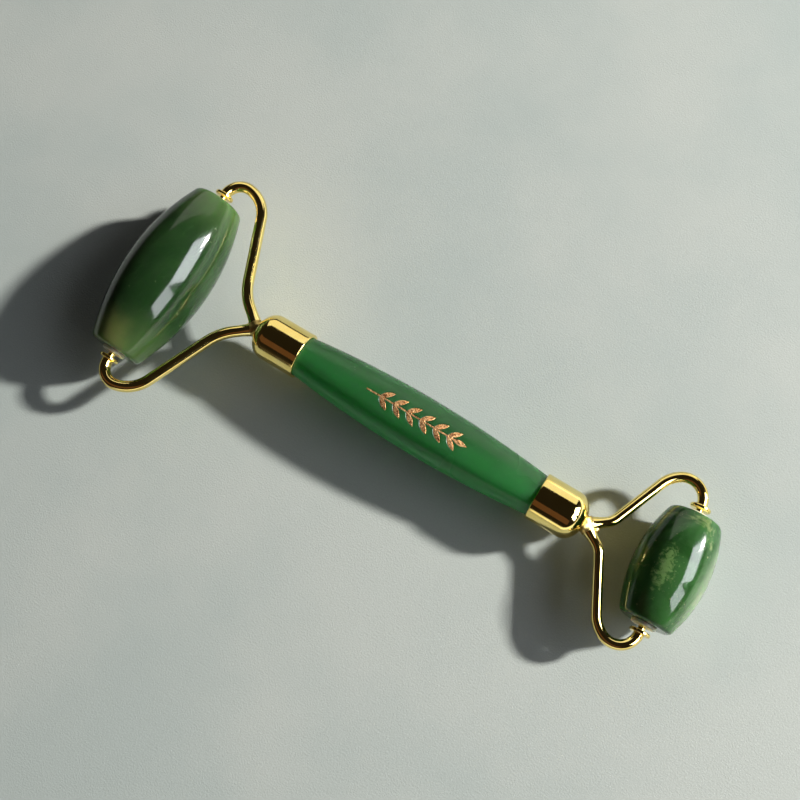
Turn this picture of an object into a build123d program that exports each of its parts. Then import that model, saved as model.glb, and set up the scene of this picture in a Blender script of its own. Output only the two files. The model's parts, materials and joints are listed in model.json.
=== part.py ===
from build123d import *

import os
from dataclasses import dataclass
from math import asin, cos, degrees, radians, sin

# A face roller: two stone barrels turn in wire forks, one at each end of a stone handle.
#
# The tool is drawn in its own frame, in millimetres. X runs along the handle from the large
# roller's axis to the small roller's, both rollers turn about lines along Y, and +Y is the left
# side. Every finished piece is then laid down: both rollers rest on z = 0, and the origin is on
# that plane under the middle of the tool.

# Whole tool
roller_spacing = 127.0

# Handle grip, a barrel between the rims of the two ferrules
grip_radius = 6.4
grip_end_radius = 4.67
glue_film = 0.05

# Leaf sprig let into the grip's upper side
sprig_length = 25.0
sprig_depth = 0.15
sprig_stem_width = 0.35
leaf_length = 3.4
leaf_width = 1.15
leaf_angle = 38.0
leaf_pairs = 6

# Ferrules
ferrule_radius = 5.33
ferrule_dome_depth = 4.05
ferrule_bore_depth = 7.5
ferrule_edge_round = 0.25

# Tangs, the studs that key each ferrule to the grip
tang_radius = 1.2
tang_grip_depth = 10.0
tang_crown_depth = 2.0
tang_groove_depth = 0.2
tang_groove_width = 0.6
tang_groove_pitch = 1.6
tang_groove_count = 5

# Swollen roots of the fork wires, where they are brazed to the crown
root_swell_length = 4.0
root_swell_sink = 0.04
root_buried_length = 1.0

# The stack of pieces on each roller axis, from the stone's end face outwards
flange_thickness = 0.7
end_play = 0.2
neck_length = 0.75
collar_thickness = 0.8

# Stones
stone_bore_radius = 1.95
stone_edge_round = 1.2

# Bushings
bushing_length = 7.0
bushing_radius = stone_bore_radius - 0.02
bushing_bore_radius = 0.78
bushing_flange_radius = 2.7
bushing_flange_chamfer = 0.15

# Collars and pivot pins
collar_radius = 2.25
collar_edge_round = 0.22
neck_radius = 0.85
journal_radius = 0.7
journal_length = 6.0
pin_root_radius = 0.6
pin_root_depth = 1.2
pin_tip_chamfer = 0.25


@dataclass
class End:
    """One end of the tool: a roller, its fork and its ferrule."""

    name: str
    forward: int
    axis_x: float
    stone_radius: float
    stone_end_radius: float
    stone_length: float
    crown_reach: float
    ferrule_length: float
    fork_yaw: float
    wire_radius: float
    root_radius: float
    root_heading: float
    flare_radius: float
    leg_heading: float
    shoulder_radius: float
    shoulder_heading: float
    hook_radius: float

    def __post_init__(self):
        self.crown_x = self.axis_x - self.forward * self.crown_reach
        self.rim_x = self.crown_x - self.forward * self.ferrule_length
        # Local x runs away from the handle and local y to the left. The fork and its roller
        # stand askew to the handle by the yaw.
        crown = Vector(self.crown_x, 0, 0)
        up = (0, 0, self.forward)
        outwards = Vector(self.forward, 0, 0)
        ahead = outwards.rotate(Axis.Z, self.fork_yaw)
        self.crown_plane = Plane(crown, x_dir=outwards, z_dir=up)
        self.fork_plane = Plane(crown, x_dir=ahead, z_dir=up)
        self.axis_plane = Plane(crown + ahead * self.crown_reach, x_dir=ahead, z_dir=up)
        self.spin_axis = Axis(self.axis_plane.origin, self.axis_plane.y_dir)
        self.mid_plane = Plane(crown, x_dir=ahead, z_dir=self.fork_plane.y_dir)
        self.stone_end_y = self.stone_length / 2
        self.flange_face_y = self.stone_end_y + flange_thickness
        self.neck_y = self.flange_face_y + end_play
        self.collar_y = self.neck_y + neck_length
        self.wire_end_y = self.collar_y + collar_thickness


large = End(
    name="large",
    forward=-1,
    axis_x=0.0,
    stone_radius=10.0,
    stone_end_radius=5.85,
    stone_length=41.5,
    crown_reach=24.7,
    ferrule_length=12.6,
    fork_yaw=0.0,
    wire_radius=1.3,
    root_radius=1.7,
    root_heading=37.8,
    flare_radius=12.9,
    leg_heading=66.8,
    shoulder_radius=8.0,
    shoulder_heading=10.0,
    hook_radius=3.95,
)
small = End(
    name="small",
    forward=1,
    axis_x=roller_spacing,
    stone_radius=8.0,
    stone_end_radius=5.5,
    stone_length=24.6,
    crown_reach=19.3,
    ferrule_length=11.6,
    fork_yaw=3.0,
    wire_radius=1.14,
    root_radius=1.9,
    root_heading=34.0,
    flare_radius=4.5,
    leg_heading=65.8,
    shoulder_radius=7.0,
    shoulder_heading=30.0,
    hook_radius=4.2,
)

# Lying pose: the handle slopes down from the large roller to the small one.
slope = asin((large.stone_radius - small.stone_radius) / roller_spacing)
level_length = large.stone_radius + roller_spacing * cos(slope) + small.stone_radius
lying = Location(
    (large.stone_radius - level_length / 2, 0, large.stone_radius),
    (0, degrees(slope), 0),
)


def finish(piece, name):
    """Lay a finished piece down, label it and write it."""
    piece.part.move(lying)
    piece.part.label = name
    export_step(piece.part, f"parts/{name}.step")


# ---------------------------------------------------------------- roller stones


def make_stone(end):
    """A barrel with a round flank and soft end edges, drilled through along its axis."""
    bore, radius, end_radius = stone_bore_radius, end.stone_radius, end.stone_end_radius
    top = end.stone_end_y
    with BuildPart() as stone:
        with BuildSketch(end.axis_plane):
            with BuildLine():
                ThreePointArc((end_radius, -top), (radius, 0), (end_radius, top))
                Polyline((end_radius, top), (bore, top), (bore, -top), (end_radius, -top))
            make_face()
        revolve(axis=end.spin_axis)
        rims = stone.edges().filter_by(GeomType.CIRCLE).filter_by(end.mid_plane)
        fillet(rims.group_by(SortBy.RADIUS)[-1], radius=stone_edge_round)
    return stone


# ---------------------------------------------------------------- bushings, pivot pins, collars


def make_bushing(end):
    """A plastic sleeve with a flange that lies on the stone's left end face."""
    face, outer = end.stone_end_y, end.flange_face_y
    with BuildPart() as bushing:
        with BuildSketch(end.axis_plane):
            Polygon(
                (bushing_bore_radius, face - bushing_length),
                (bushing_radius, face - bushing_length),
                (bushing_radius, face),
                (bushing_flange_radius, face),
                (bushing_flange_radius, outer),
                (bushing_bore_radius, outer),
                align=None,
            )
        revolve(axis=end.spin_axis)
        rims = bushing.edges().filter_by(GeomType.CIRCLE).filter_by(end.mid_plane)
        outer_rims = rims.sort_by(end.spin_axis)[-2:]
        chamfer(outer_rims.sort_by(SortBy.RADIUS)[-1], length=bushing_flange_chamfer)
    return bushing


def make_pivot(end):
    """A turned pin: journal in the bushing, thrust shoulder, and a root in the wire's end."""
    tip = end.neck_y - journal_length
    with BuildPart() as pivot:
        with BuildSketch(end.axis_plane):
            Polygon(
                (0, tip),
                (journal_radius - pin_tip_chamfer, tip),
                (journal_radius, tip + pin_tip_chamfer),
                (journal_radius, end.neck_y),
                (neck_radius, end.neck_y),
                (neck_radius, end.collar_y),
                (pin_root_radius, end.collar_y),
                (pin_root_radius, end.wire_end_y + pin_root_depth),
                (0, end.wire_end_y + pin_root_depth),
                align=None,
            )
        revolve(axis=end.spin_axis)
    return pivot


def make_collar(end):
    """A thin washer between the pin's shoulder and the wire's end."""
    with BuildPart() as collar:
        with BuildSketch(end.axis_plane):
            Polygon(
                (pin_root_radius, end.collar_y),
                (collar_radius, end.collar_y),
                (collar_radius, end.wire_end_y),
                (pin_root_radius, end.wire_end_y),
                align=None,
            )
        revolve(axis=end.spin_axis)
        rims = collar.edges().filter_by(GeomType.CIRCLE).group_by(SortBy.RADIUS)[-1]
        fillet(rims, radius=collar_edge_round)
    return collar


# ---------------------------------------------------------------- ferrules and tangs


def make_ferrule(end):
    """A domed cap: a blind bore takes the grip, and a smaller one in the crown takes the tang."""
    dome, radius, length = ferrule_dome_depth, ferrule_radius, end.ferrule_length
    bore = grip_end_radius + glue_film
    bore_floor = ferrule_bore_depth - length
    with BuildPart() as ferrule:
        with BuildSketch(end.crown_plane):
            with BuildLine():
                EllipticalCenterArc((-dome, 0), dome, radius, arc_size=90)
                Polyline(
                    (-dome, radius),
                    (-length, radius),
                    (-length, bore),
                    (bore_floor, bore),
                    (bore_floor, tang_radius),
                    (bore_floor + tang_crown_depth, tang_radius),
                    (bore_floor + tang_crown_depth, 0),
                    (0, 0),
                )
            make_face()
        revolve(axis=Axis.X)
        rim = ferrule.faces().sort_by(Axis.X)[0 if end.forward > 0 else -1]
        fillet(rim.edges().sort_by(SortBy.RADIUS)[-1], radius=ferrule_edge_round)
    return ferrule


def make_tang(end):
    """A stud with glue grooves, half of it in the ferrule's crown and the rest in the grip."""
    bore_floor = ferrule_bore_depth - end.ferrule_length
    top = bore_floor + tang_crown_depth
    tip = bore_floor - tang_grip_depth
    with BuildPart() as tang:
        with BuildSketch(end.crown_plane):
            Polygon((top, 0), (top, tang_radius), (tip, tang_radius), (tip, 0), align=None)
        revolve(axis=Axis.X)
        with BuildSketch(end.crown_plane):
            for number in range(tang_groove_count):
                groove = tip + tang_groove_pitch * (number + 1)
                Polygon(
                    (groove, tang_radius - tang_groove_depth),
                    (groove + tang_groove_width, tang_radius - tang_groove_depth),
                    (groove + tang_groove_width, tang_radius + 1),
                    (groove, tang_radius + 1),
                    align=None,
                )
        revolve(axis=Axis.X, mode=Mode.SUBTRACT)
    return tang


# ---------------------------------------------------------------- fork arms


def arm_bends(end):
    """Radius, first heading and last heading of each bend, from the crown to the roller's axis.

    Headings are counted from the fork's way forward outwards, and the wire ends heading inwards.
    """
    return (
        (end.flare_radius, end.root_heading, end.leg_heading),
        (end.shoulder_radius, end.leg_heading, end.shoulder_heading),
        (end.hook_radius, end.shoulder_heading, -90.0),
    )


def arm_lengths(end):
    """Lengths of the straight root and leg that bring the wire's end to the roller's axis."""
    forward_left, outward_left = end.crown_reach, end.wire_end_y
    for radius, first, last in arm_bends(end):
        signed = radius if last > first else -radius
        forward_left -= signed * (sin(radians(last)) - sin(radians(first)))
        outward_left -= signed * (cos(radians(first)) - cos(radians(last)))
    root, leg = radians(end.root_heading), radians(end.leg_heading)
    spread = sin(leg - root)
    root_length = (forward_left * sin(leg) - outward_left * cos(leg)) / spread
    leg_length = (outward_left * cos(root) - forward_left * sin(root)) / spread
    return root_length, leg_length


def make_arm(end, pivot):
    """The left wire: swollen root on the ferrule's crown, flare, leg, shoulder and hook."""
    root_length, leg_length = arm_lengths(end)
    flare, shoulder, hook = (
        {"radius": radius, "arc_size": last - first} for radius, first, last in arm_bends(end)
    )
    root = radians(end.root_heading)
    start = (-root_buried_length * cos(root), -root_buried_length * sin(root))
    root_end = (root_length * cos(root), root_length * sin(root))
    with BuildPart() as arm:
        with BuildLine(end.fork_plane) as route:
            straight = Line(start, root_end)
            flare_arc = JernArc(straight @ 1, straight % 1, **flare)
            leg = Line(flare_arc @ 1, flare_arc @ 1 + leg_length * (flare_arc % 1))
            shoulder_arc = JernArc(leg @ 1, leg % 1, **shoulder)
            JernArc(shoulder_arc @ 1, shoulder_arc % 1, **hook)
        root_plane = Plane(straight @ 0, z_dir=straight % 0)
        with BuildSketch(root_plane):
            Circle(end.wire_radius)
        sweep(path=route.line)
        with Locations(root_plane):
            Cone(
                end.root_radius,
                end.wire_radius - root_swell_sink,
                root_buried_length + root_swell_length,
                align=(Align.CENTER, Align.CENTER, Align.MIN),
            )
        split(bisect_by=end.mid_plane, keep=Keep.TOP)
        add(pivot.part, mode=Mode.SUBTRACT)
    return arm


def seated(arm, ferrule):
    """The arm with its root cut to the ferrule's crown."""
    with BuildPart() as cut:
        add(arm.part)
        add(ferrule.part, mode=Mode.SUBTRACT)
    return cut


# ---------------------------------------------------------------- handle


def barrel_outline(inset):
    """The grip's flank between the ferrule rims, moved in by inset, as a line in the sketch."""
    middle_x = (large.rim_x + small.rim_x) / 2
    end_radius = grip_end_radius - inset
    ThreePointArc((large.rim_x, end_radius), (middle_x, grip_radius - inset), (small.rim_x, end_radius))


def leaf(base, angle, length):
    """A pointed leaf: two equal arcs from its base to its tip."""
    along = Vector(cos(radians(angle)), sin(radians(angle)))
    across = Vector(-along.Y, along.X) * (leaf_width / 2)
    middle = base + along * (length / 2)
    tip = base + along * length
    with BuildLine() as outline:
        ThreePointArc(base, middle + across, tip)
        ThreePointArc(tip, middle - across, base)
    make_face(outline.edges())


def make_inlay():
    """A gilt sprig: one stem with pairs of leaves and a leaf at its tip, level with the grip."""
    middle_x = (large.rim_x + small.rim_x) / 2
    stem_start = middle_x - sprig_length / 2
    stem_length = sprig_length - leaf_length
    pitch = stem_length / (leaf_pairs + 0.5)
    with BuildPart() as inlay:
        with BuildSketch(Plane.XY.offset(grip_radius / 2)):
            with Locations((stem_start + stem_length / 2, 0)):
                Rectangle(stem_length, sprig_stem_width)
            for pair in range(leaf_pairs):
                base = Vector(stem_start + pitch * (pair + 1), 0)
                leaf(base, leaf_angle, leaf_length)
                leaf(base, -leaf_angle, leaf_length)
            leaf(Vector(stem_start + stem_length - sprig_stem_width, 0), 0, leaf_length)
        extrude(amount=grip_radius)
        with BuildSketch():
            with BuildLine():
                barrel_outline(0)
                barrel_outline(sprig_depth)
                for rim_x in (large.rim_x, small.rim_x):
                    Line((rim_x, grip_end_radius), (rim_x, grip_end_radius - sprig_depth))
            make_face()
        revolve(axis=Axis.X, mode=Mode.INTERSECT)
    return inlay


def make_grip(inlay):
    """The stone handle: a barrel with a plain tenon and a blind tang bore at each end."""
    tenon = ferrule_bore_depth - glue_film
    with BuildPart() as grip:
        with BuildSketch():
            with BuildLine():
                barrel_outline(0)
                Polyline(
                    (small.rim_x, grip_end_radius),
                    (small.rim_x + tenon, grip_end_radius),
                    (small.rim_x + tenon, 0),
                    (large.rim_x - tenon, 0),
                    (large.rim_x - tenon, grip_end_radius),
                    (large.rim_x, grip_end_radius),
                )
            make_face()
        revolve(axis=Axis.X)
        for tenon_end in (grip.faces().sort_by(Axis.X)[0], grip.faces().sort_by(Axis.X)[-1]):
            with Locations(tenon_end):
                Hole(tang_radius + glue_film, depth=tang_grip_depth + 2 * glue_film)
        add(inlay.part, mode=Mode.SUBTRACT)
    return grip


# ---------------------------------------------------------------- build and write every piece


def mirrored(end, left):
    """The right piece that matches a left one, across the middle of the fork."""
    with BuildPart() as right:
        mirror(left.part, about=end.mid_plane)
    return right


def finish_both_sides(end, kind, left):
    """Write a left piece and the right piece that matches it."""
    right = mirrored(end, left)
    finish(left, f"{end.name}_{kind}_left")
    finish(right, f"{end.name}_{kind}_right")


os.makedirs("parts", exist_ok=True)

for tool_end in (large, small):
    tool_ferrule = make_ferrule(tool_end)
    tool_pivot = make_pivot(tool_end)
    tool_arm = make_arm(tool_end, tool_pivot)
    finish(seated(tool_arm, tool_ferrule), f"{tool_end.name}_arm_left")
    finish(seated(mirrored(tool_end, tool_arm), tool_ferrule), f"{tool_end.name}_arm_right")
    finish_both_sides(tool_end, "pivot", tool_pivot)
    finish_both_sides(tool_end, "collar", make_collar(tool_end))
    finish_both_sides(tool_end, "bushing", make_bushing(tool_end))
    finish(tool_ferrule, f"{tool_end.name}_ferrule")
    finish(make_tang(tool_end), f"{tool_end.name}_tang")
    finish(make_stone(tool_end), f"{tool_end.name}_roller_stone")

handle_inlay = make_inlay()
handle_grip = make_grip(handle_inlay)
finish(handle_inlay, "handle_inlay")
finish(handle_grip, "handle_grip")
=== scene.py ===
import json
from dataclasses import dataclass
from math import asin, cos, pi, radians, sin, sqrt, tan

import bmesh
import bpy
from mathutils import Matrix, Vector, noise


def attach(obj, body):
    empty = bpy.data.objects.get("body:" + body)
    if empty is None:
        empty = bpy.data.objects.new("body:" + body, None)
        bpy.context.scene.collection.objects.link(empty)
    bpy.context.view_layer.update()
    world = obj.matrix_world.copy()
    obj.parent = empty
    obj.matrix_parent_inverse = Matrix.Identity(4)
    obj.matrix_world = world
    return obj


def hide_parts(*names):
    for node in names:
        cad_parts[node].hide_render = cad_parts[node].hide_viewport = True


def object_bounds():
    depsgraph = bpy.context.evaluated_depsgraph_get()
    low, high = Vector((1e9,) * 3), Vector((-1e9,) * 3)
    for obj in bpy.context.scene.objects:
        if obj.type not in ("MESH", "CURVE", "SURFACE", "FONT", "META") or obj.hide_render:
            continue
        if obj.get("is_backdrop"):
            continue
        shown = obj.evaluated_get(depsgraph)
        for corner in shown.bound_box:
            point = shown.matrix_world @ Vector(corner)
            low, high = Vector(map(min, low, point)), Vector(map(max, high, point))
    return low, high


# Looks of the jade face roller, around its CAD frame.
#
# Pieces are modelled in the tool's own frame, in millimetres, and TOOL carries them to the row
# frame: X runs from the large roller's axis to the small one's, +Y is left and +Z is up.

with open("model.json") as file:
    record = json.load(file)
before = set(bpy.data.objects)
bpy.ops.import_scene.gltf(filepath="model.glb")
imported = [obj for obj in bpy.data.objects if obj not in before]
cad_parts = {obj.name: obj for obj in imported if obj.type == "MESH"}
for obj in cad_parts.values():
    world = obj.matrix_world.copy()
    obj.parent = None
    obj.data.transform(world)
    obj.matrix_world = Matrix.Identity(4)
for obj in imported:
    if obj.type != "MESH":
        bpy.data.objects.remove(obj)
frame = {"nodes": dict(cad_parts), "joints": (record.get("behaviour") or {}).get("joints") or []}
cad_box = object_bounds()

# Whole tool
millimetre = 0.001
roller_spacing = 127.0

# Handle grip
grip_radius = 6.4
grip_end_radius = 4.67
glue_film = 0.05

# Leaf sprig
sprig_length = 25.0
sprig_depth = 0.15
sprig_stem_width = 0.35
leaf_length = 3.4
leaf_width = 1.15
leaf_angle = 38.0
leaf_pairs = 6

# Ferrules and tangs
ferrule_radius = 5.33
ferrule_dome_depth = 4.05
ferrule_bore_depth = 7.5
ferrule_edge_round = 0.25
tang_radius = 1.2
tang_grip_depth = 10.0
tang_crown_depth = 2.0

# Swollen roots of the fork wires
root_swell_length = 4.0
root_buried_length = 1.0

# The stack of pieces on each roller axis
flange_thickness = 0.7
end_play = 0.2
neck_length = 0.75
collar_thickness = 0.8

# Stones, bushings, collars and pivot pins
stone_bore_radius = 1.95
stone_edge_round = 1.2
bushing_length = 7.0
bushing_radius = 1.93
bushing_bore_radius = 0.78
bushing_flange_radius = 2.7
collar_radius = 2.25
neck_radius = 0.85
journal_radius = 0.7
journal_length = 6.0
pin_root_radius = 0.6
pin_root_depth = 1.2
pin_tip_chamfer = 0.25


@dataclass
class End:
    """One end of the tool: a roller, its fork and its ferrule."""

    name: str
    forward: int
    axis_x: float
    stone_radius: float
    stone_end_radius: float
    stone_length: float
    crown_reach: float
    ferrule_length: float
    fork_yaw: float
    wire_radius: float
    root_radius: float
    root_heading: float
    flare_radius: float
    leg_heading: float
    shoulder_radius: float
    shoulder_heading: float
    hook_radius: float

    def __post_init__(self):
        self.crown_x = self.axis_x - self.forward * self.crown_reach
        self.skew = Matrix.Rotation(radians(self.fork_yaw), 3, "Z")
        self.rim_x = self.crown_x - self.forward * self.ferrule_length
        self.stone_end_y = self.stone_length / 2
        self.flange_face_y = self.stone_end_y + flange_thickness
        self.neck_y = self.flange_face_y + end_play
        self.collar_y = self.neck_y + neck_length
        self.wire_end_y = self.collar_y + collar_thickness
        self.body = f"{self.name}_roller"

    def at_fork(self, forward, left, up):
        """A point of the fork or the roller, counted from the crown in the fork's own directions."""
        return Vector((self.crown_x, 0, 0)) + self.skew @ Vector((self.forward * forward, left, up))


large = End(
    name="large",
    forward=-1,
    axis_x=0.0,
    stone_radius=10.0,
    stone_end_radius=5.85,
    stone_length=41.5,
    crown_reach=24.7,
    ferrule_length=12.6,
    fork_yaw=0.0,
    wire_radius=1.3,
    root_radius=1.7,
    root_heading=37.8,
    flare_radius=12.9,
    leg_heading=66.8,
    shoulder_radius=8.0,
    shoulder_heading=10.0,
    hook_radius=3.95,
)
small = End(
    name="small",
    forward=1,
    axis_x=roller_spacing,
    stone_radius=8.0,
    stone_end_radius=5.5,
    stone_length=24.6,
    crown_reach=19.3,
    ferrule_length=11.6,
    fork_yaw=3.0,
    wire_radius=1.14,
    root_radius=1.9,
    root_heading=34.0,
    flare_radius=4.5,
    leg_heading=65.8,
    shoulder_radius=7.0,
    shoulder_heading=30.0,
    hook_radius=4.2,
)
grip_middle_x = (large.rim_x + small.rim_x) / 2


def joint_place(name):
    """Where a joint stands in the row frame, in metres."""
    return Vector(next(joint["pos_m"] for joint in frame["joints"] if joint["name"] == name))


def tool_matrix():
    """Carries tool millimetres to the row frame: both rollers rest on the floor."""
    start = joint_place("large_roller_spin")
    slope = asin((large.stone_radius - small.stone_radius) / roller_spacing)
    return Matrix.Translation(start) @ Matrix.Rotation(slope, 4, "Y") @ Matrix.Scale(millimetre, 4)


TOOL = tool_matrix()


# ---------------------------------------------------------------- camera, light and floor

camera_azimuth = 46.02
camera_elevation = 74.17
camera_distance = 0.22671
camera_aim = (-0.00199, 0.00264, 0.009)
camera_lens = 47.11
image_up_heading = 122.12

floor_size = 3.0


def compass(azimuth, elevation):
    """Unit vector at an azimuth counted from +X towards +Y and a height above the horizon."""
    flat = cos(radians(elevation))
    across = radians(azimuth)
    return Vector((flat * cos(across), flat * sin(across), sin(radians(elevation))))


def add_camera():
    """Looks down on the tool from beyond its right side."""
    data = bpy.data.cameras.new("camera")
    data.lens = camera_lens
    data.clip_start = 0.01
    camera = bpy.data.objects.new("camera", data)
    back = compass(camera_azimuth - 90, camera_elevation)
    right = compass(image_up_heading, 0).cross(back).normalized()
    turn = Matrix((right, back.cross(right), back)).transposed()
    camera.matrix_world = Matrix.Translation(Vector(camera_aim) + back * camera_distance) @ turn.to_4x4()
    bpy.context.scene.collection.objects.link(camera)
    bpy.context.scene.camera = camera


def add_softbox(name, azimuth, elevation, distance, size, radiance, colour=(1, 1, 1)):
    """A rectangular light that faces the large roller, of an even radiance."""
    data = bpy.data.lights.new(name, "AREA")
    data.shape = "RECTANGLE"
    data.size, data.size_y = size
    data.energy = radiance * pi * data.size * data.size_y
    data.color = colour
    light = bpy.data.objects.new(name, data)
    towards = compass(azimuth, elevation)
    light.location = joint_place("large_roller_spin") + towards * distance
    light.rotation_euler = towards.to_track_quat("Z", "Y").to_euler()
    bpy.context.scene.collection.objects.link(light)
    return light


def add_lights():
    """A small key light, a soft fill, and for polished faces a window of two panes and two walls."""
    add_softbox("key", 37, 26, 1.5, (0.09, 0.09), 1390, (1.0, 0.975, 0.92))
    panes = (
        add_softbox("left_pane", 25, 37, 1.6, (0.84, 0.80), 15.0, (0.93, 0.97, 1.0)),
        add_softbox("right_pane", -8, 37, 1.6, (0.42, 0.80), 10.0, (0.93, 0.97, 1.0)),
        add_softbox("pale_wall", 108, 28, 1.2, (1.5, 0.85), 1.0, (1.0, 0.96, 0.86)),
        add_softbox("warm_wall", -100, 47, 1.2, (2.2, 0.55), 0.09, (1.0, 0.44, 0.26)),
    )
    for pane in panes:
        pane.visible_diffuse = False
    fill = add_softbox("fill", 15, 32, 1.5, (1.2, 0.8), 1.3, (0.9, 0.95, 1.0))
    fill.visible_glossy = False


def add_world():
    """A dark room with a pale glow low on its +X side, an even soft fill, and a pale backdrop."""
    world = bpy.data.worlds.new("studio")
    world.use_nodes = True
    bpy.context.scene.world = world
    nodes = world.node_tree.nodes
    link = world.node_tree.links.new
    direction = nodes.new("ShaderNodeSeparateXYZ")
    link(nodes.new("ShaderNodeTexCoord").outputs["Generated"], direction.inputs["Vector"])

    def fade(letter, low, high):
        """Goes from 0 to 1 as the direction's part along one axis goes from low to high."""
        step = nodes.new("ShaderNodeMapRange")
        step.interpolation_type = "SMOOTHSTEP"
        step.inputs["From Min"].default_value = low
        step.inputs["From Max"].default_value = high
        link(direction.outputs[letter], step.inputs["Value"])
        return step.outputs["Result"]

    def blend(share, colour_a, colour_b):
        """Colour a where share is 0, colour b where it is 1."""
        mixed = nodes.new("ShaderNodeMix")
        mixed.data_type = "RGBA"
        link(share, mixed.inputs[0])
        for number, colour in ((6, colour_a), (7, colour_b)):
            if isinstance(colour, tuple):
                mixed.inputs[number].default_value = colour
            else:
                link(colour, mixed.inputs[number])
        return mixed.outputs[2]

    def background(strength, colour):
        made = nodes.new("ShaderNodeBackground")
        made.inputs["Strength"].default_value = strength
        made.inputs["Color"].default_value = colour
        return made

    glow = nodes.new("ShaderNodeMath")
    glow.operation = "MULTIPLY"
    link(fade("Z", 0.24, 0.12), glow.inputs[0])
    link(fade("X", -0.35, 0.15), glow.inputs[1])
    walls = blend(fade("Z", 0.17, 0.45), (0.030, 0.022, 0.016, 1), (0.014, 0.011, 0.008, 1))
    room = background(1.0, (0, 0, 0, 1))
    link(blend(glow.outputs["Value"], walls, (1.5, 1.45, 1.28, 1)), room.inputs["Color"])
    soft = background(0.02, (0.90, 0.95, 1.0, 1))
    backdrop = background(1.0, (0.62, 0.66, 0.63, 1))
    rays = nodes.new("ShaderNodeLightPath")
    seen, shown = nodes.new("ShaderNodeMixShader"), nodes.new("ShaderNodeMixShader")
    link(rays.outputs["Is Diffuse Ray"], seen.inputs["Fac"])
    link(room.outputs["Background"], seen.inputs[1])
    link(soft.outputs["Background"], seen.inputs[2])
    link(rays.outputs["Is Camera Ray"], shown.inputs["Fac"])
    link(seen.outputs["Shader"], shown.inputs[1])
    link(backdrop.outputs["Background"], shown.inputs[2])
    link(shown.outputs["Shader"], nodes["World Output"].inputs["Surface"])


# ---------------------------------------------------------------- material building


class Look:
    """A Principled material, with short ways to add nodes. Noise scales are per metre."""

    def __init__(self, name, sockets):
        self.material = bpy.data.materials.new(name)
        self.material.use_nodes = True
        self.nodes = self.material.node_tree.nodes
        self.shader = self.nodes["Principled BSDF"]
        self.place = self.nodes.new("ShaderNodeTexCoord").outputs["Object"]
        for socket, value in sockets.items():
            self.set(socket, value)

    def feed(self, socket, value):
        """Link a socket to a node's output, or give it a constant."""
        if isinstance(value, bpy.types.NodeSocket):
            self.material.node_tree.links.new(value, socket)
        else:
            socket.default_value = value

    def set(self, socket, value):
        self.feed(self.shader.inputs[socket], value)

    def node(self, kind, inputs, **settings):
        made = self.nodes.new("ShaderNode" + kind)
        for name, value in settings.items():
            setattr(made, name, value)
        for socket, value in inputs.items():
            self.feed(made.inputs[socket], value)
        return made.outputs

    def stretched(self, scale, turn=(0, 0, 0)):
        """The object's coordinates, turned and then scaled unevenly."""
        inputs = {"Vector": self.place, "Rotation": turn}
        turned = self.node("VectorRotate", inputs, rotation_type="EULER_XYZ")
        return self.node("VectorMath", {0: turned["Vector"], 1: scale}, operation="MULTIPLY")["Vector"]

    def noise(self, scale, detail=3.0, roughness=0.5, distortion=0.0, place=None):
        inputs = {"Vector": place or self.place, "Scale": scale, "Detail": detail}
        inputs.update({"Roughness": roughness, "Distortion": distortion})
        return self.node("TexNoise", inputs)[0]

    def ramp(self, value, low, high, start=0.0, end=1.0):
        """Value's way from low to high, as a smooth step from start to end."""
        inputs = {"Value": value, "From Min": low, "From Max": high, "To Min": start, "To Max": end}
        return self.node("MapRange", inputs, interpolation_type="SMOOTHSTEP")["Result"]

    def math(self, operation, *values):
        return self.node("Math", dict(enumerate(values)), operation=operation)["Value"]

    def mix(self, share, colour_a, colour_b):
        """Colour a where share is 0, colour b where it is 1."""
        inputs = {0: share}
        for number, colour in ((6, colour_a), (7, colour_b)):
            inputs[number] = (*colour, 1) if isinstance(colour, tuple) else colour
        return self.node("Mix", inputs, data_type="RGBA")[2]

    def bump(self, height, depth, before=None):
        """Bumps of a depth in metres, on top of the bumps before them."""
        inputs = {"Height": height, "Distance": depth, "Strength": 1.0}
        if before:
            inputs["Normal"] = before
        return self.node("Bump", inputs)["Normal"]

    def axis(self, letter):
        return self.node("SeparateXYZ", {"Vector": self.place})[letter]


def polish(look, low, high, scratch_depth):
    """Uneven polish: roughness in soft patches, with fine scratches two ways."""
    smears = look.noise(160, 4, 0.6)
    scratches = look.noise(1.0, 2, 0.5, place=look.stretched((9000, 500, 9000), (0.3, 0.2, 0.6)))
    crossed = look.noise(1.0, 2, 0.5, place=look.stretched((600, 8000, 8000), (0.1, 0.7, -0.4)))
    lines = look.math("ADD", look.ramp(scratches, 0.62, 0.72), look.ramp(crossed, 0.64, 0.74))
    rough = look.math("ADD", look.ramp(smears, 0.35, 0.7, low, high), look.math("MULTIPLY", lines, 0.03))
    look.set("Roughness", rough)
    return look.bump(lines, -scratch_depth)


def specked(look, colour, speck_colour, scale, share):
    """Small flecks in a stone, each far from the next."""
    cells = look.node("TexVoronoi", {"Vector": look.place, "Scale": scale})
    chosen = look.ramp(look.noise(scale * 0.6, 2), share, share + 0.06)
    flecks = look.math("MULTIPLY", look.ramp(cells["Distance"], 0.22, 0.08), chosen)
    return look.mix(look.math("MULTIPLY", flecks, 0.6), colour, speck_colour)


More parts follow.
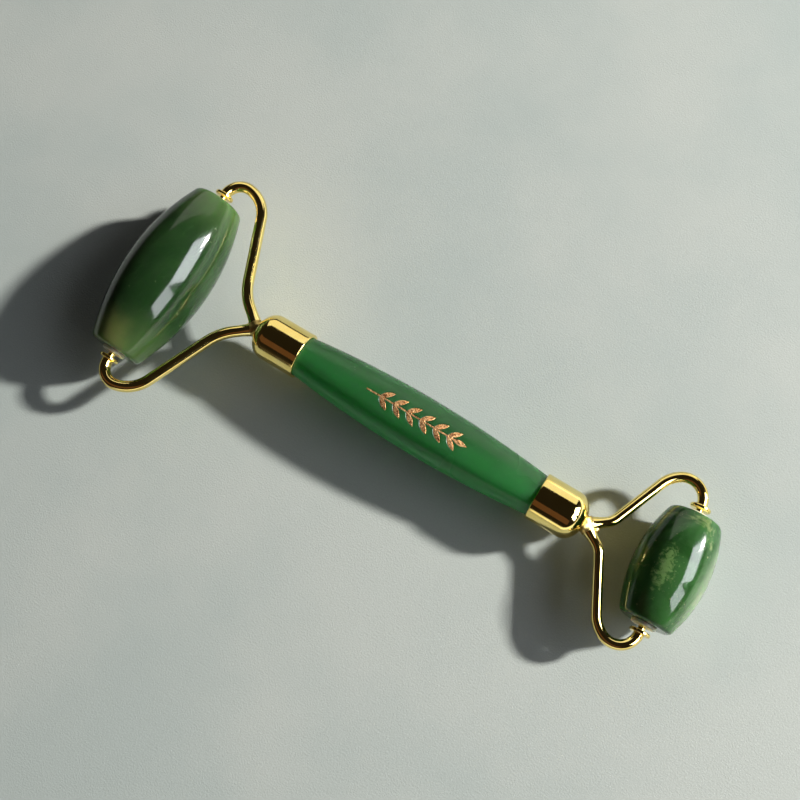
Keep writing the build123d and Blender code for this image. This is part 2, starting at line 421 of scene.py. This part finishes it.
def jade(name, colours, cloud_scale, sockets):
    """Nephrite: clouds of two greens with veins of a third. Returns the look and its colour."""
    deep, clear, vein = colours
    settings = {"IOR": 1.61, "Specular IOR Level": 0.3, "Subsurface Weight": 1.0, "Subsurface Scale": 0.007}
    settings["Subsurface Radius"] = (0.45, 1.0, 0.4)
    look = Look(name, {**settings, **sockets})
    clouds = look.ramp(look.noise(cloud_scale, 5, 0.55, 0.6), 0.38, 0.64)
    fibres = look.noise(1.0, 5, 0.6, 0.8, place=look.stretched((900, 260, 900), (0.2, 0.1, 0.5)))
    colour = look.mix(clouds, deep, clear)
    colour = look.mix(look.ramp(fibres, 0.52, 0.78, 0.0, 0.55), colour, vein)
    return look, colour


def large_stone_look():
    """Dark polished jade with painted light: lighter towards its ends, and a painted warm glow beside one
    bore.
    """
    greens = ((0.016, 0.050, 0.014), (0.026, 0.070, 0.021), (0.036, 0.090, 0.028))
    look, colour = jade("large_stone_jade", greens, 70, {})
    # Painted light: the stone is lighter towards both ends, standing in for light shining through its thin
    # ends.
    reach = look.math("ABSOLUTE", look.axis("Y"))
    painted_end_glow = look.math("ADD", reach, look.math("MULTIPLY", look.noise(130, 4), 0.006))
    colour = look.mix(look.ramp(painted_end_glow, 0.012, 0.024, 0.0, 0.85), colour, (0.085, 0.150, 0.048))
    # Painted light: a warm yellow glow near the -Y end, standing in for light shining through the stone
    # beside the bore.
    painted_glow_middle = (-0.0640, -0.0195, 0.0170)
    painted_glow_distance = look.node("VectorMath", {0: look.place, 1: painted_glow_middle}, operation="DISTANCE")["Value"]
    warm = look.math("ADD", painted_glow_distance, look.math("MULTIPLY", look.noise(300, 3), 0.004))
    colour = look.mix(look.ramp(warm, 0.0100, 0.0035, 0.0, 0.7), colour, (0.21, 0.23, 0.075))
    colour = specked(look, colour, (0.16, 0.22, 0.10), 520, 0.60)
    look.set("Base Color", colour)
    look.set("Normal", polish(look, 0.05, 0.10, 0.000002))
    return look.material


def small_stone_look():
    """Mottled polished jade: ragged pale drifts across a green ground, and painted light paling its +X
    flank.
    """
    greens = ((0.022, 0.084, 0.018), (0.050, 0.150, 0.043), (0.070, 0.185, 0.058))
    look, colour = jade("small_stone_jade", greens, 130, {"Subsurface Scale": 0.006})
    drift = look.noise(150, 7, 0.68, 0.9, place=look.stretched((1.0, 0.75, 1.0), (0.0, 0.0, 0.35)))
    colour = look.mix(look.ramp(drift, 0.56, 0.70, 0.0, 0.9), colour, (0.24, 0.31, 0.13))
    patch_middle = (0.0625, -0.0005, 0.0155)
    off = look.node("VectorMath", {0: look.place, 1: patch_middle}, operation="SUBTRACT")["Vector"]
    off = look.node("VectorMath", {0: off, 1: (1.0, 0.36, 1.0)}, operation="MULTIPLY")["Vector"]
    off = look.node("VectorMath", {0: off}, operation="LENGTH")["Value"]
    ragged = look.math("ADD", off, look.math("MULTIPLY", look.noise(560, 9, 0.78, 1.0), 0.0110))
    colour = look.mix(look.ramp(ragged, 0.0074, 0.0060, 0.0, 0.8), colour, (0.26, 0.42, 0.15))
    # Painted light: the +X flank, the side towards the lamps, is paled, standing in for light glowing
    # through the rim.
    colour = look.mix(look.ramp(look.axis("X"), 0.0690, 0.0720, 0.0, 0.65), colour, (0.36, 0.44, 0.31))
    dust = look.noise(1400, 4, 0.7)
    dusty = look.math("MULTIPLY", look.ramp(dust, 0.62, 0.74), look.ramp(drift, 0.40, 0.60))
    colour = look.mix(dusty, colour, (0.30, 0.36, 0.18))
    colour = specked(look, colour, (0.30, 0.35, 0.16), 700, 0.56)
    look.set("Base Color", colour)
    look.set("Normal", polish(look, 0.05, 0.11, 0.000002))
    return look.material


def handle_stone_look():
    """Satin jade, brighter than the rollers, with painted light making its right (-Y) side brighter, and
    faint drifts.
    """
    greens = ((0.018, 0.080, 0.024), (0.023, 0.100, 0.031), (0.032, 0.118, 0.040))
    look, colour = jade("handle_jade", greens, 60, {"Specular IOR Level": 0.22, "Subsurface Scale": 0.012})
    # Painted light: the colour is much brighter towards -Y, the side away from the key light, standing in
    # for light passing through the stone; a noise makes the edge of this ramp wander.
    painted_glow_wander = look.math("MULTIPLY", look.noise(45, 3), 0.003)
    side = look.math("ADD", look.axis("Y"), painted_glow_wander)
    colour = look.mix(look.ramp(side, 0.0050, -0.0065, 0.0, 1.0), colour, (0.066, 0.440, 0.115))
    bands = look.noise(1.0, 4, 0.5, 0.3, place=look.stretched((50, 260, 260)))
    colour = look.mix(look.ramp(bands, 0.5, 0.75, 0.0, 0.4), colour, (0.044, 0.150, 0.060))
    colour = specked(look, colour, (0.15, 0.26, 0.13), 900, 0.58)
    look.set("Base Color", colour)
    look.set("Roughness", look.ramp(look.noise(60, 2), 0.3, 0.7, 0.24, 0.28))
    look.set("Normal", look.bump(look.noise(5000, 2), 0.000002))
    return look.material


def gold_look():
    """Bright plating, with soft unevenness, a haze of wear and fine wiping marks."""
    look = Look("gold_plating", {"Metallic": 1.0})
    tone = look.ramp(look.noise(220, 3), 0.35, 0.65)
    look.set("Base Color", look.mix(tone, (0.93, 0.72, 0.23), (0.97, 0.79, 0.30)))
    marks = polish(look, 0.05, 0.10, 0.0000012)
    look.set("Normal", look.bump(look.noise(420, 2, 0.4), 0.000010, marks))
    return look.material


def braze_look():
    """The plating over the brazing, duller and uneven."""
    look = Look("brazed_plating", {"Metallic": 1.0})
    tone = look.ramp(look.noise(900, 3), 0.35, 0.65)
    look.set("Base Color", look.mix(tone, (0.42, 0.30, 0.10), (0.54, 0.41, 0.15)))
    look.set("Roughness", look.ramp(look.noise(700, 4, 0.6), 0.3, 0.7, 0.26, 0.40))
    look.set("Normal", look.bump(look.noise(1500, 2, 0.4), 0.00001))
    return look.material


def gilt_look():
    """Rough copper-gold leaf, pressed into the stone and worn through in pits."""
    look = Look("gilt_leaf", {"Metallic": 0.9})
    grain = look.noise(5200, 3, 0.6)
    pits = look.ramp(look.noise(2300, 5, 0.75), 0.40, 0.54)
    flakes = look.mix(look.ramp(grain, 0.35, 0.65), (0.80, 0.30, 0.07), (1.0, 0.68, 0.36))
    look.set("Base Color", look.mix(pits, (0.16, 0.035, 0.008), flakes))
    look.set("Roughness", look.ramp(grain, 0.3, 0.7, 0.30, 0.55))
    look.set("Normal", look.bump(look.noise(3600, 3, 0.6), 0.00005))
    return look.material


def nylon_look():
    """Cream moulded nylon, a little yellowed, with a fine moulding grain."""
    look = Look("cream_nylon", {"Subsurface Weight": 0.2, "Subsurface Scale": 0.0008})
    tone = look.ramp(look.noise(700, 3), 0.3, 0.7)
    look.set("Base Color", look.mix(tone, (0.92, 0.85, 0.60), (0.97, 0.93, 0.74)))
    look.set("Roughness", look.ramp(look.noise(1500, 2), 0.3, 0.7, 0.34, 0.5))
    look.set("Normal", look.bump(look.noise(6000, 2), 0.000008))
    return look.material


def steel_look():
    """Drawn steel, brushed along the handle."""
    look = Look("brushed_steel", {"Metallic": 1.0})
    lines = look.noise(1.0, 3, 0.6, place=look.stretched((300, 12000, 12000)))
    look.set("Base Color", look.mix(lines, (0.42, 0.41, 0.40), (0.62, 0.61, 0.60)))
    look.set("Roughness", look.ramp(lines, 0.3, 0.7, 0.25, 0.42))
    look.set("Normal", look.bump(lines, 0.000006))
    return look.material


def floor_look():
    """Plain pale card with a very fine tooth and a faint wash."""
    look = Look("pale_card", {})
    tooth = look.noise(2600, 3, 0.6)
    wash = look.noise(14, 5, 0.55)
    colour = look.mix(look.ramp(wash, 0.35, 0.65), (0.49, 0.55, 0.53), (0.57, 0.61, 0.58))
    look.set("Base Color", look.mix(look.ramp(tooth, 0.3, 0.7, 0.0, 0.10), colour, (0.30, 0.33, 0.31)))
    look.set("Roughness", look.ramp(tooth, 0.3, 0.7, 0.75, 0.9))
    look.set("Normal", look.bump(tooth, 0.00006))
    return look.material


def add_floor():
    """The surface that both rollers rest on."""
    mesh = bpy.data.meshes.new("floor")
    half = floor_size / 2
    corners = [(-half, -half, 0), (half, -half, 0), (half, half, 0), (-half, half, 0)]
    mesh.from_pydata(corners, [], [(0, 1, 2, 3)])
    mesh.materials.append(floor_look())
    floor = bpy.data.objects.new("floor", mesh)
    bpy.context.scene.collection.objects.link(floor)
    floor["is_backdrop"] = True


# ---------------------------------------------------------------- outlines and meshes


def rounded(corners, steps=6):
    """An outline. A corner given as (x, y, radius) becomes an arc tangent to both its sides."""
    outline = []
    for number, corner in enumerate(corners):
        if len(corner) == 2:
            outline.append(corner)
            continue
        here = Vector((*corner[:2], 0))
        back = (Vector((*corners[number - 1][:2], 0)) - here).normalized()
        ahead = (Vector((*corners[(number + 1) % len(corners)][:2], 0)) - here).normalized()
        half = back.angle(ahead) / 2
        reach = corner[2] / tan(half)
        centre = here + (back + ahead).normalized() * (corner[2] / sin(half))
        first = (here + back * reach - centre).normalized()
        last = (here + ahead * reach - centre).normalized()
        spokes = [first.slerp(last, step / steps) for step in range(steps + 1)]
        outline += [tuple(centre + spoke * corner[2])[:2] for spoke in spokes]
    return outline


def steps_between(start, end, pitch):
    """Evenly spaced values from start up to, but not at, end, about a pitch apart."""
    count = max(1, round(abs(end - start) / pitch))
    return [start + (end - start) * number / count for number in range(count)]


def flank_radius(position, middle_radius, end_radius, length):
    """Radius of a barrel whose flank is one arc, at a position counted from its middle."""
    rise, half = middle_radius - end_radius, length / 2
    arc_radius = (rise**2 + half**2) / (2 * rise)
    return middle_radius - arc_radius + sqrt(arc_radius**2 - position**2)


def about_handle(along, radius, turn):
    """A point about the handle's axis. Turn 0 points up."""
    return Vector((along, radius * sin(turn), radius * cos(turn)))


def sided_name(end, kind, side):
    """The CAD node of one of a pair of pieces. Side is 1 on the left and -1 on the right."""
    place_name = "left" if side > 0 else "right"
    return f"{end.name}_{kind}_{place_name}"


def about_axle(end, side=1):
    """A place function about a roller's axis. Along is counted outwards on one side."""

    def place(along, radius, turn):
        return end.at_fork(end.crown_reach + radius * sin(turn), side * along, radius * cos(turn))

    return place


def mesh_of(points, faces):
    """A mesh in tool millimetres, with its faces turned outwards."""
    mesh = bpy.data.meshes.new("piece")
    mesh.from_pydata(points, [], faces)
    work = bmesh.new()
    work.from_mesh(mesh)
    bmesh.ops.recalc_face_normals(work, faces=work.faces)
    work.to_mesh(mesh)
    work.free()
    return mesh


def lathe(outline, place, turns=96):
    """An outline of (along, radius) turned about an axis.

    An outline that starts and ends on the axis closes in poles, and any other closes on itself.
    """
    if isinstance(turns, int):
        turns = [2 * pi * number / turns for number in range(turns)]
    count = len(turns)
    poles = outline[0][1] == 0
    rings = outline[1:-1] if poles else outline
    points = [place(along, radius, turn) for along, radius in rings for turn in turns]
    last = len(rings) - 1
    faces = []
    for ring in range(last if poles else last + 1):
        low, high = ring * count, (ring + 1) % len(rings) * count
        for number in range(count):
            after = (number + 1) % count
            faces.append((low + number, low + after, high + after, high + number))
    if poles:
        for ring, (along, radius) in ((0, outline[0]), (last, outline[-1])):
            points.append(place(along, radius, 0))
            pole, low = len(points) - 1, ring * count
            faces += [(pole, low + n, low + (n + 1) % count) for n in range(count)]
    return mesh_of(points, faces)


def with_modifiers(mesh, modifiers):
    """The mesh after a list of (kind, settings) modifiers."""
    holder = bpy.data.objects.new("holder", mesh)
    bpy.context.scene.collection.objects.link(holder)
    for kind, settings in modifiers:
        modifier = holder.modifiers.new(kind, kind)
        for name, value in settings.items():
            setattr(modifier, name, value)
    ready = holder.evaluated_get(bpy.context.evaluated_depsgraph_get())
    made = bpy.data.meshes.new_from_object(ready)
    bpy.data.objects.remove(holder)
    return made


def add_piece(name, mesh, look, body, nodes=(), sharp=40):
    """Put a mesh of tool millimetres in the row frame, riding on a body in place of CAD nodes."""
    mesh.transform(TOOL)
    mesh.shade_smooth()
    mesh.set_sharp_from_angle(angle=radians(sharp))
    mesh.materials.clear()
    mesh.materials.append(look)
    piece = bpy.data.objects.new(name, mesh)
    bpy.context.scene.collection.objects.link(piece)
    even = piece.modifiers.new("even_shading", "WEIGHTED_NORMAL")
    even.keep_sharp = True
    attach(piece, body)
    if nodes:
        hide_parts(*nodes)
    return piece


# ---------------------------------------------------------------- roller stones

stone_wave_length = 11.0
stone_wave_depth = 0.05


def make_stone(end, look):
    """A hand-ground barrel: its flank waves a little, and its edges and bore mouths are soft."""
    top, bore = end.stone_end_y, stone_bore_radius
    flank_end = top - stone_edge_round
    flank = [
        (along, flank_radius(along, end.stone_radius, end.stone_end_radius, end.stone_length))
        for along in steps_between(-flank_end, flank_end, 0.4) + [flank_end]
    ]
    upper = [(top, end.stone_end_radius, stone_edge_round), (top, bore, 0.12), (-top, bore, 0.12)]
    outline = rounded(flank + upper + [(-top, end.stone_end_radius, stone_edge_round)])

    def place(along, radius, turn):
        point = about_axle(end)(along, radius, turn)
        wave = noise.noise(point / stone_wave_length + Vector((0, 0, end.stone_length)))
        dent = stone_wave_depth * (1 + wave) / 2 if radius > bore + 1 else 0
        return about_axle(end)(along, radius - dent, turn)

    node = f"{end.name}_roller_stone"
    add_piece(f"{node}_polished", lathe(outline, place, 160), look, end.body, [node])


# ---------------------------------------------------------------- axle pieces


def make_bushing(end, side, look):
    """A moulded sleeve, with a flange against the stone's end face."""
    face, outer = end.stone_end_y, end.flange_face_y
    corners = [
        (face - bushing_length, bushing_bore_radius),
        (face - bushing_length, bushing_radius, 0.15),
        (face, bushing_radius),
        (face, bushing_flange_radius, 0.08),
        (outer, bushing_flange_radius, 0.2),
        (outer, bushing_bore_radius, 0.1),
    ]
    node = sided_name(end, "bushing", side)
    mesh = lathe(rounded(corners), about_axle(end, side), 64)
    add_piece(f"{node}_moulded", mesh, look, end.body, [node])


def make_pivot(end, side, look):
    """A turned pin with a waisted neck between its shoulder and the collar."""
    tip = end.neck_y - journal_length
    corners = [
        (tip, 0),
        (tip, journal_radius, pin_tip_chamfer),
        (end.neck_y, journal_radius),
        (end.neck_y, neck_radius, 0.08),
        (end.neck_y + neck_length / 2, neck_radius - 0.06),
        (end.collar_y, neck_radius),
        (end.collar_y, pin_root_radius),
        (end.wire_end_y + pin_root_depth, pin_root_radius, 0.1),
        (end.wire_end_y + pin_root_depth, 0),
    ]
    node = sided_name(end, "pivot", side)
    add_piece(
        f"{node}_turned",
        lathe(rounded(corners), about_axle(end, side), 48),
        look,
        "frame",
        [node],
    )


def make_collar(end, side, look):
    """A thin washer with rolled edges, where the wire ends."""
    corners = [
        (end.collar_y, pin_root_radius),
        (end.collar_y, collar_radius, 0.3),
        (end.wire_end_y, collar_radius, 0.3),
        (end.wire_end_y, pin_root_radius),
    ]
    node = sided_name(end, "collar", side)
    mesh = lathe(rounded(corners), about_axle(end, side), 72)
    add_piece(f"{node}_rolled", mesh, look, "frame", [node])


# ---------------------------------------------------------------- ferrules


def make_ferrule(end, look):
    """A domed cap, drawn from the crown's pole round the rim and into its blind bore."""
    length, radius = end.ferrule_length, ferrule_radius
    bore = grip_end_radius + glue_film
    bore_floor = ferrule_bore_depth - length
    dome_turns = [radians(90 * step / 36) for step in range(1, 37)]
    dome = [(-ferrule_dome_depth * (1 - cos(turn)), radius * sin(turn)) for turn in dome_turns]
    wall = [(along, radius) for along in steps_between(-ferrule_dome_depth - 0.5, 0.6 - length, 0.5)]
    bore_corners = [
        (-length, radius, ferrule_edge_round),
        (-length, bore, 0.05),
        (bore_floor, bore),
        (bore_floor, tang_radius),
        (bore_floor + tang_crown_depth, tang_radius),
        (bore_floor + tang_crown_depth, 0),
    ]
    outline = rounded([(0, 0)] + dome + wall + bore_corners)

    def place(along, radius, turn):
        return about_handle(end.crown_x + end.forward * along, radius, turn)

    node = f"{end.name}_ferrule"
    add_piece(f"{node}_drawn", lathe(outline, place, 128), look, "frame", [node])


# ---------------------------------------------------------------- fork arms

braze_reach = 1.5
braze_lip = 0.14
braze_skin = 0.015
crotch_radius = 0.95
crotch_sink = 0.15
wire_end_round = 0.15


def arm_bends(end):
    """Radius, first heading and last heading of each bend, as in the CAD model."""
    return (
        (end.flare_radius, end.root_heading, end.leg_heading),
        (end.shoulder_radius, end.leg_heading, end.shoulder_heading),
        (end.hook_radius, end.shoulder_heading, -90.0),
    )


def bend_step(radius, first, last):
    """The way a bend goes from a first heading to a last one, in degrees."""
    signed = radius if last > first else -radius
    first, last = radians(first), radians(last)
    return Vector((sin(last) - sin(first), cos(first) - cos(last))) * signed


def arm_lengths(end):
    """Lengths of an arm's straight root and straight leg, as in the CAD model."""
    left = Vector((end.crown_reach, end.wire_end_y))
    for bend in arm_bends(end):
        left -= bend_step(*bend)
    root, leg = radians(end.root_heading), radians(end.leg_heading)
    spread = sin(leg - root)
    root_length = (left.x * sin(leg) - left.y * cos(leg)) / spread
    leg_length = (left.y * cos(root) - left.x * sin(root)) / spread
    return root_length, leg_length


def arm_route(end):
    """Centre line of an arm from inside the crown: a list of (forward, outward, heading, radius)."""
    root_length, leg_length = arm_lengths(end)
    flare, shoulder, hook = arm_bends(end)
    stretches = (
        (root_buried_length + root_length, end.root_heading, end.root_heading),
        flare,
        (leg_length, end.leg_heading, end.leg_heading),
        shoulder,
        hook,
    )
    root = radians(end.root_heading)
    here = Vector((cos(root), sin(root))) * -root_buried_length
    swell = root_swell_length + root_buried_length
    gone = 0.0
    route = [(*here, root, end.root_radius)]
    for size, first, last in stretches:
        start = here.copy()
        count = 14 if first == last else max(4, round(abs(last - first) / 3))
        length = size if first == last else size * radians(abs(last - first))
        for step in range(1, count + 1):
            heading = first + (last - first) * step / count
            if first == last:
                here = start + Vector((cos(radians(first)), sin(radians(first)))) * (size * step / count)
            else:
                here = start + bend_step(size, first, heading)
            thinner = min(1, (gone + length * step / count) / swell)
            thinner = thinner * thinner * (3 - 2 * thinner)
            radius = end.root_radius + (end.wire_radius - end.root_radius) * thinner
            route.append((*here, radians(heading), radius))
        gone += length
    return route


def tube(end, side, stations, sides=40):
    """A closed tube through stations of (forward, outward, heading, radius)."""
    turns = [2 * pi * number / sides for number in range(sides)]
    points, faces = [], []
    for forward, outward, heading, radius in stations:
        for turn in turns:
            off = radius * cos(turn)
            left = side * (outward + off * cos(heading))
            points.append(end.at_fork(forward - off * sin(heading), left, radius * sin(turn)))
    for ring in range(len(stations) - 1):
        low, high = ring * sides, (ring + 1) * sides
        faces += [(low + n, low + (n + 1) % sides, high + (n + 1) % sides, high + n) for n in range(sides)]
    faces.append(tuple(range(sides)))
    faces.append(tuple(range(len(points) - sides, len(points))))
    return points, faces


def make_arm(end, side, look):
    """A bent wire from the ferrule's crown to the collar, with the pin's hole in its end."""
    stations = arm_route(end)
    forward, outward, heading, wire_radius = stations.pop()
    for step in range(5):
        turn = radians(90 * step / 4)
        back = wire_end_round * (1 - sin(turn))
        radius = wire_radius - wire_end_round * (1 - cos(turn))
        stations.append((forward, outward + back, heading, radius))
    stations.append((forward, outward, heading, pin_root_radius))
    stations.append((forward, outward + pin_root_depth, heading, pin_root_radius))
    work = bmesh.new()
    work.from_mesh(mesh_of(*tube(end, side, stations)))
    cut = bmesh.ops.bisect_plane(
        work,
        geom=work.verts[:] + work.edges[:] + work.faces[:],
        plane_co=end.at_fork(0, 0, 0),
        plane_no=end.skew @ Vector((0, side, 0)),
        clear_inner=True,
    )
    rim = [item for item in cut["geom_cut"] if isinstance(item, bmesh.types.BMEdge)]
    bmesh.ops.holes_fill(work, edges=rim)
    bmesh.ops.recalc_face_normals(work, faces=work.faces)
    mesh = bpy.data.meshes.new("arm")
    work.to_mesh(mesh)
    work.free()
    node = sided_name(end, "arm", side)
    add_piece(f"{node}_bent", mesh, look, "frame", [node])


def ball(centre, radius, sides=24):
    """Points and faces of a round bead."""
    work = bmesh.new()
    bmesh.ops.create_uvsphere(work, u_segments=sides, v_segments=sides // 2, radius=radius)
    work.verts.index_update()
    points = [tuple(vertex.co + Vector(centre)) for vertex in work.verts]
    faces = [tuple(vertex.index for vertex in face.verts) for face in work.faces]
    work.free()
    return points, faces


def fuse(shells, voxel, smoothing):
    """One closed skin around overlapping shells, smoothed."""
    points, faces = [], []
    for shell_points, shell_faces in shells:
        first = len(points)
        points += shell_points
        faces += [tuple(first + number for number in face) for face in shell_faces]
    remesh = ("REMESH", {"mode": "VOXEL", "voxel_size": voxel})
    smooth = ("SMOOTH", {"iterations": smoothing, "factor": 0.5})
    return with_modifiers(mesh_of(points, faces), [remesh, smooth])


def make_braze(end, look):
    """The bead that joins both wires to the crown and fills the crotch between them."""
    shells = []
    for side in (1, -1):
        root = [station for station in arm_route(end) if station[0] < braze_reach]
        stations = []
        for forward, outward, heading, radius in root:
            lip = braze_lip * (1 - max(0, forward) / braze_reach) ** 2
            stations.append((forward, outward, heading, radius + lip + braze_skin))
        shells.append(tube(end, side, stations))
    crotch = end.root_radius / sin(radians(end.root_heading)) - crotch_radius - crotch_sink
    shells.append(ball(end.at_fork(crotch, 0, 0), crotch_radius))
    mesh = fuse(shells, 0.12, 8)
    add_piece(f"{end.name}_braze_bead", mesh, look, "frame", sharp=180)


# ---------------------------------------------------------------- handle

sprig_start_x = grip_middle_x - sprig_length / 2
stem_length = sprig_length - leaf_length
recess_wall = 0.07


def sprig_leaves():
    """Base x and angle of each leaf."""
    pitch = stem_length / (leaf_pairs + 0.5)
    leaves = [(sprig_start_x + stem_length - sprig_stem_width, 0.0)]
    for pair in range(leaf_pairs):
        for angle in (leaf_angle, -leaf_angle):
            leaves.append((sprig_start_x + pitch * (pair + 1), radians(angle)))
    return leaves


def grip_flank(x):
    """The grip's radius at x."""
    return flank_radius(x - grip_middle_x, grip_radius, grip_end_radius, small.rim_x - large.rim_x)


def inside_sprig(x, y):
    """How far (x, y) lies inside the sprig's outline. Negative outside it."""
    stem = (sprig_stem_width / 2 - abs(y), x - sprig_start_x, sprig_start_x + stem_length - x)
    inside = min(stem)
    for base_x, angle in sprig_leaves():
        along = (x - base_x) * cos(angle) + y * sin(angle)
        across = y * cos(angle) - (x - base_x) * sin(angle)
        if 0 < along < leaf_length:
            half_width = leaf_width / 2 * (1 - (2 * along / leaf_length - 1) ** 2)
            inside = max(inside, half_width - abs(across))
    return inside


def make_grip(look):
    """The satin barrel, with a shallow engraved sprig, its tenons and its blind tang bores."""
    tenon = ferrule_bore_depth - glue_film
    bore, bore_depth = tang_radius + glue_film, tang_grip_depth + 2 * glue_film
    first_end, last_end = large.rim_x - tenon, small.rim_x + tenon
    sprig_end_x = sprig_start_x + sprig_length
    flank_x = steps_between(large.rim_x, sprig_start_x - 0.3, 0.8)
    flank_x += steps_between(sprig_start_x - 0.3, sprig_end_x + 0.3, 0.07)
    flank_x += steps_between(sprig_end_x + 0.3, small.rim_x, 0.8)
    corners = [
        (first_end + bore_depth, 0),
        (first_end + bore_depth, bore),
        (first_end, bore),
        (first_end, grip_end_radius, 0.3),
        *[(x, grip_flank(x)) for x in flank_x],
        (small.rim_x, grip_end_radius),
        (last_end, grip_end_radius, 0.3),
        (last_end, bore),
        (last_end - bore_depth, bore),
        (last_end - bore_depth, 0),
    ]
    half_reach = leaf_length * sin(radians(leaf_angle)) + leaf_width
    top_turn = asin(half_reach / grip_radius)
    turns = steps_between(-top_turn, top_turn, radians(0.6))
    turns += steps_between(top_turn, 2 * pi - top_turn, radians(2))

    def place(along, radius, turn):
        point = about_handle(along, radius, turn)
        on_top = point.z > 0 and abs(point.y) < half_reach
        if radius < grip_end_radius or not on_top or not sprig_start_x - 1 < along < sprig_end_x + 1:
            return point
        share = min(1, max(0, inside_sprig(along, point.y) / recess_wall + 1))
        return about_handle(along, radius - sprig_depth * share * share * (3 - 2 * share), turn)

    add_piece(
        "handle_grip_carved",
        lathe(rounded(corners), place, turns),
        look,
        "frame",
        ["handle_grip"],
        sharp=60,
    )


def ribbon(base_x, angle, length, half_width):
    """A closed strip that lies in the sprig's recess. half_width gives its width on the way."""
    points, faces = [], []
    count, across_count = 24, 4
    for step in range(count + 1):
        along = length * step / count
        for sink in (0.03, sprig_depth + 0.02):
            for number in range(across_count + 1):
                across = half_width(step / count) * (2 * number / across_count - 1)
                x = base_x + along * cos(angle) - across * sin(angle)
                y = along * sin(angle) + across * cos(angle)
                points.append((x, y, sqrt(grip_flank(x) ** 2 - y**2) - sink))
    row = 2 * (across_count + 1)
    loop = list(range(across_count + 1)) + list(range(row - 1, across_count, -1))
    for step in range(count):
        low, high = step * row, (step + 1) * row
        for number in range(row):
            here, after = loop[number], loop[(number + 1) % row]
            faces.append((low + here, low + after, high + after, high + here))
    faces.append(tuple(loop))
    faces.append(tuple(count * row + number for number in loop))
    return points, faces


def make_inlay(look):
    """Gilt leaf pressed into the recess, uneven and soft at its edges."""

    def leaf_half_width(share):
        return max(0.03, leaf_width / 2 * (1 - (2 * share - 1) ** 2) - 0.02)

    def stem_half_width(share):
        return sprig_stem_width / 2

    shells = [ribbon(sprig_start_x, 0, stem_length, stem_half_width)]
    shells += [ribbon(base_x, angle, leaf_length, leaf_half_width) for base_x, angle in sprig_leaves()]
    mesh = fuse(shells, 0.055, 2)
    for vertex in mesh.vertices:
        rough = noise.fractal(vertex.co * 2.2, 0.8, 2.0, 3)
        vertex.co.z += 0.035 * rough
    add_piece("handle_inlay_gilt", mesh, look, "frame", ["handle_inlay"], sharp=70)


# ---------------------------------------------------------------- put together

add_camera()
add_lights()
add_world()
add_floor()
bpy.context.scene.view_settings.view_transform = "Standard"

gold, brazed = gold_look(), braze_look()
nylon = nylon_look()
steel = steel_look()
stone_looks = {"large": large_stone_look(), "small": small_stone_look()}

for tool_end in (large, small):
    make_stone(tool_end, stone_looks[tool_end.name])
    make_ferrule(tool_end, gold)
    make_braze(tool_end, brazed)
    tang = frame["nodes"][f"{tool_end.name}_tang"]
    tang.data.materials.clear()
    tang.data.materials.append(steel)
    for tool_side in (1, -1):
        make_arm(tool_end, tool_side, gold)
        make_collar(tool_end, tool_side, gold)
        make_pivot(tool_end, tool_side, gold)
        make_bushing(tool_end, tool_side, nylon)

make_grip(handle_stone_look())
make_inlay(gilt_look())

boxes = {"cad": cad_box, "visual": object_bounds()}
{name: [list(corner) for corner in box] for name, box in boxes.items()}
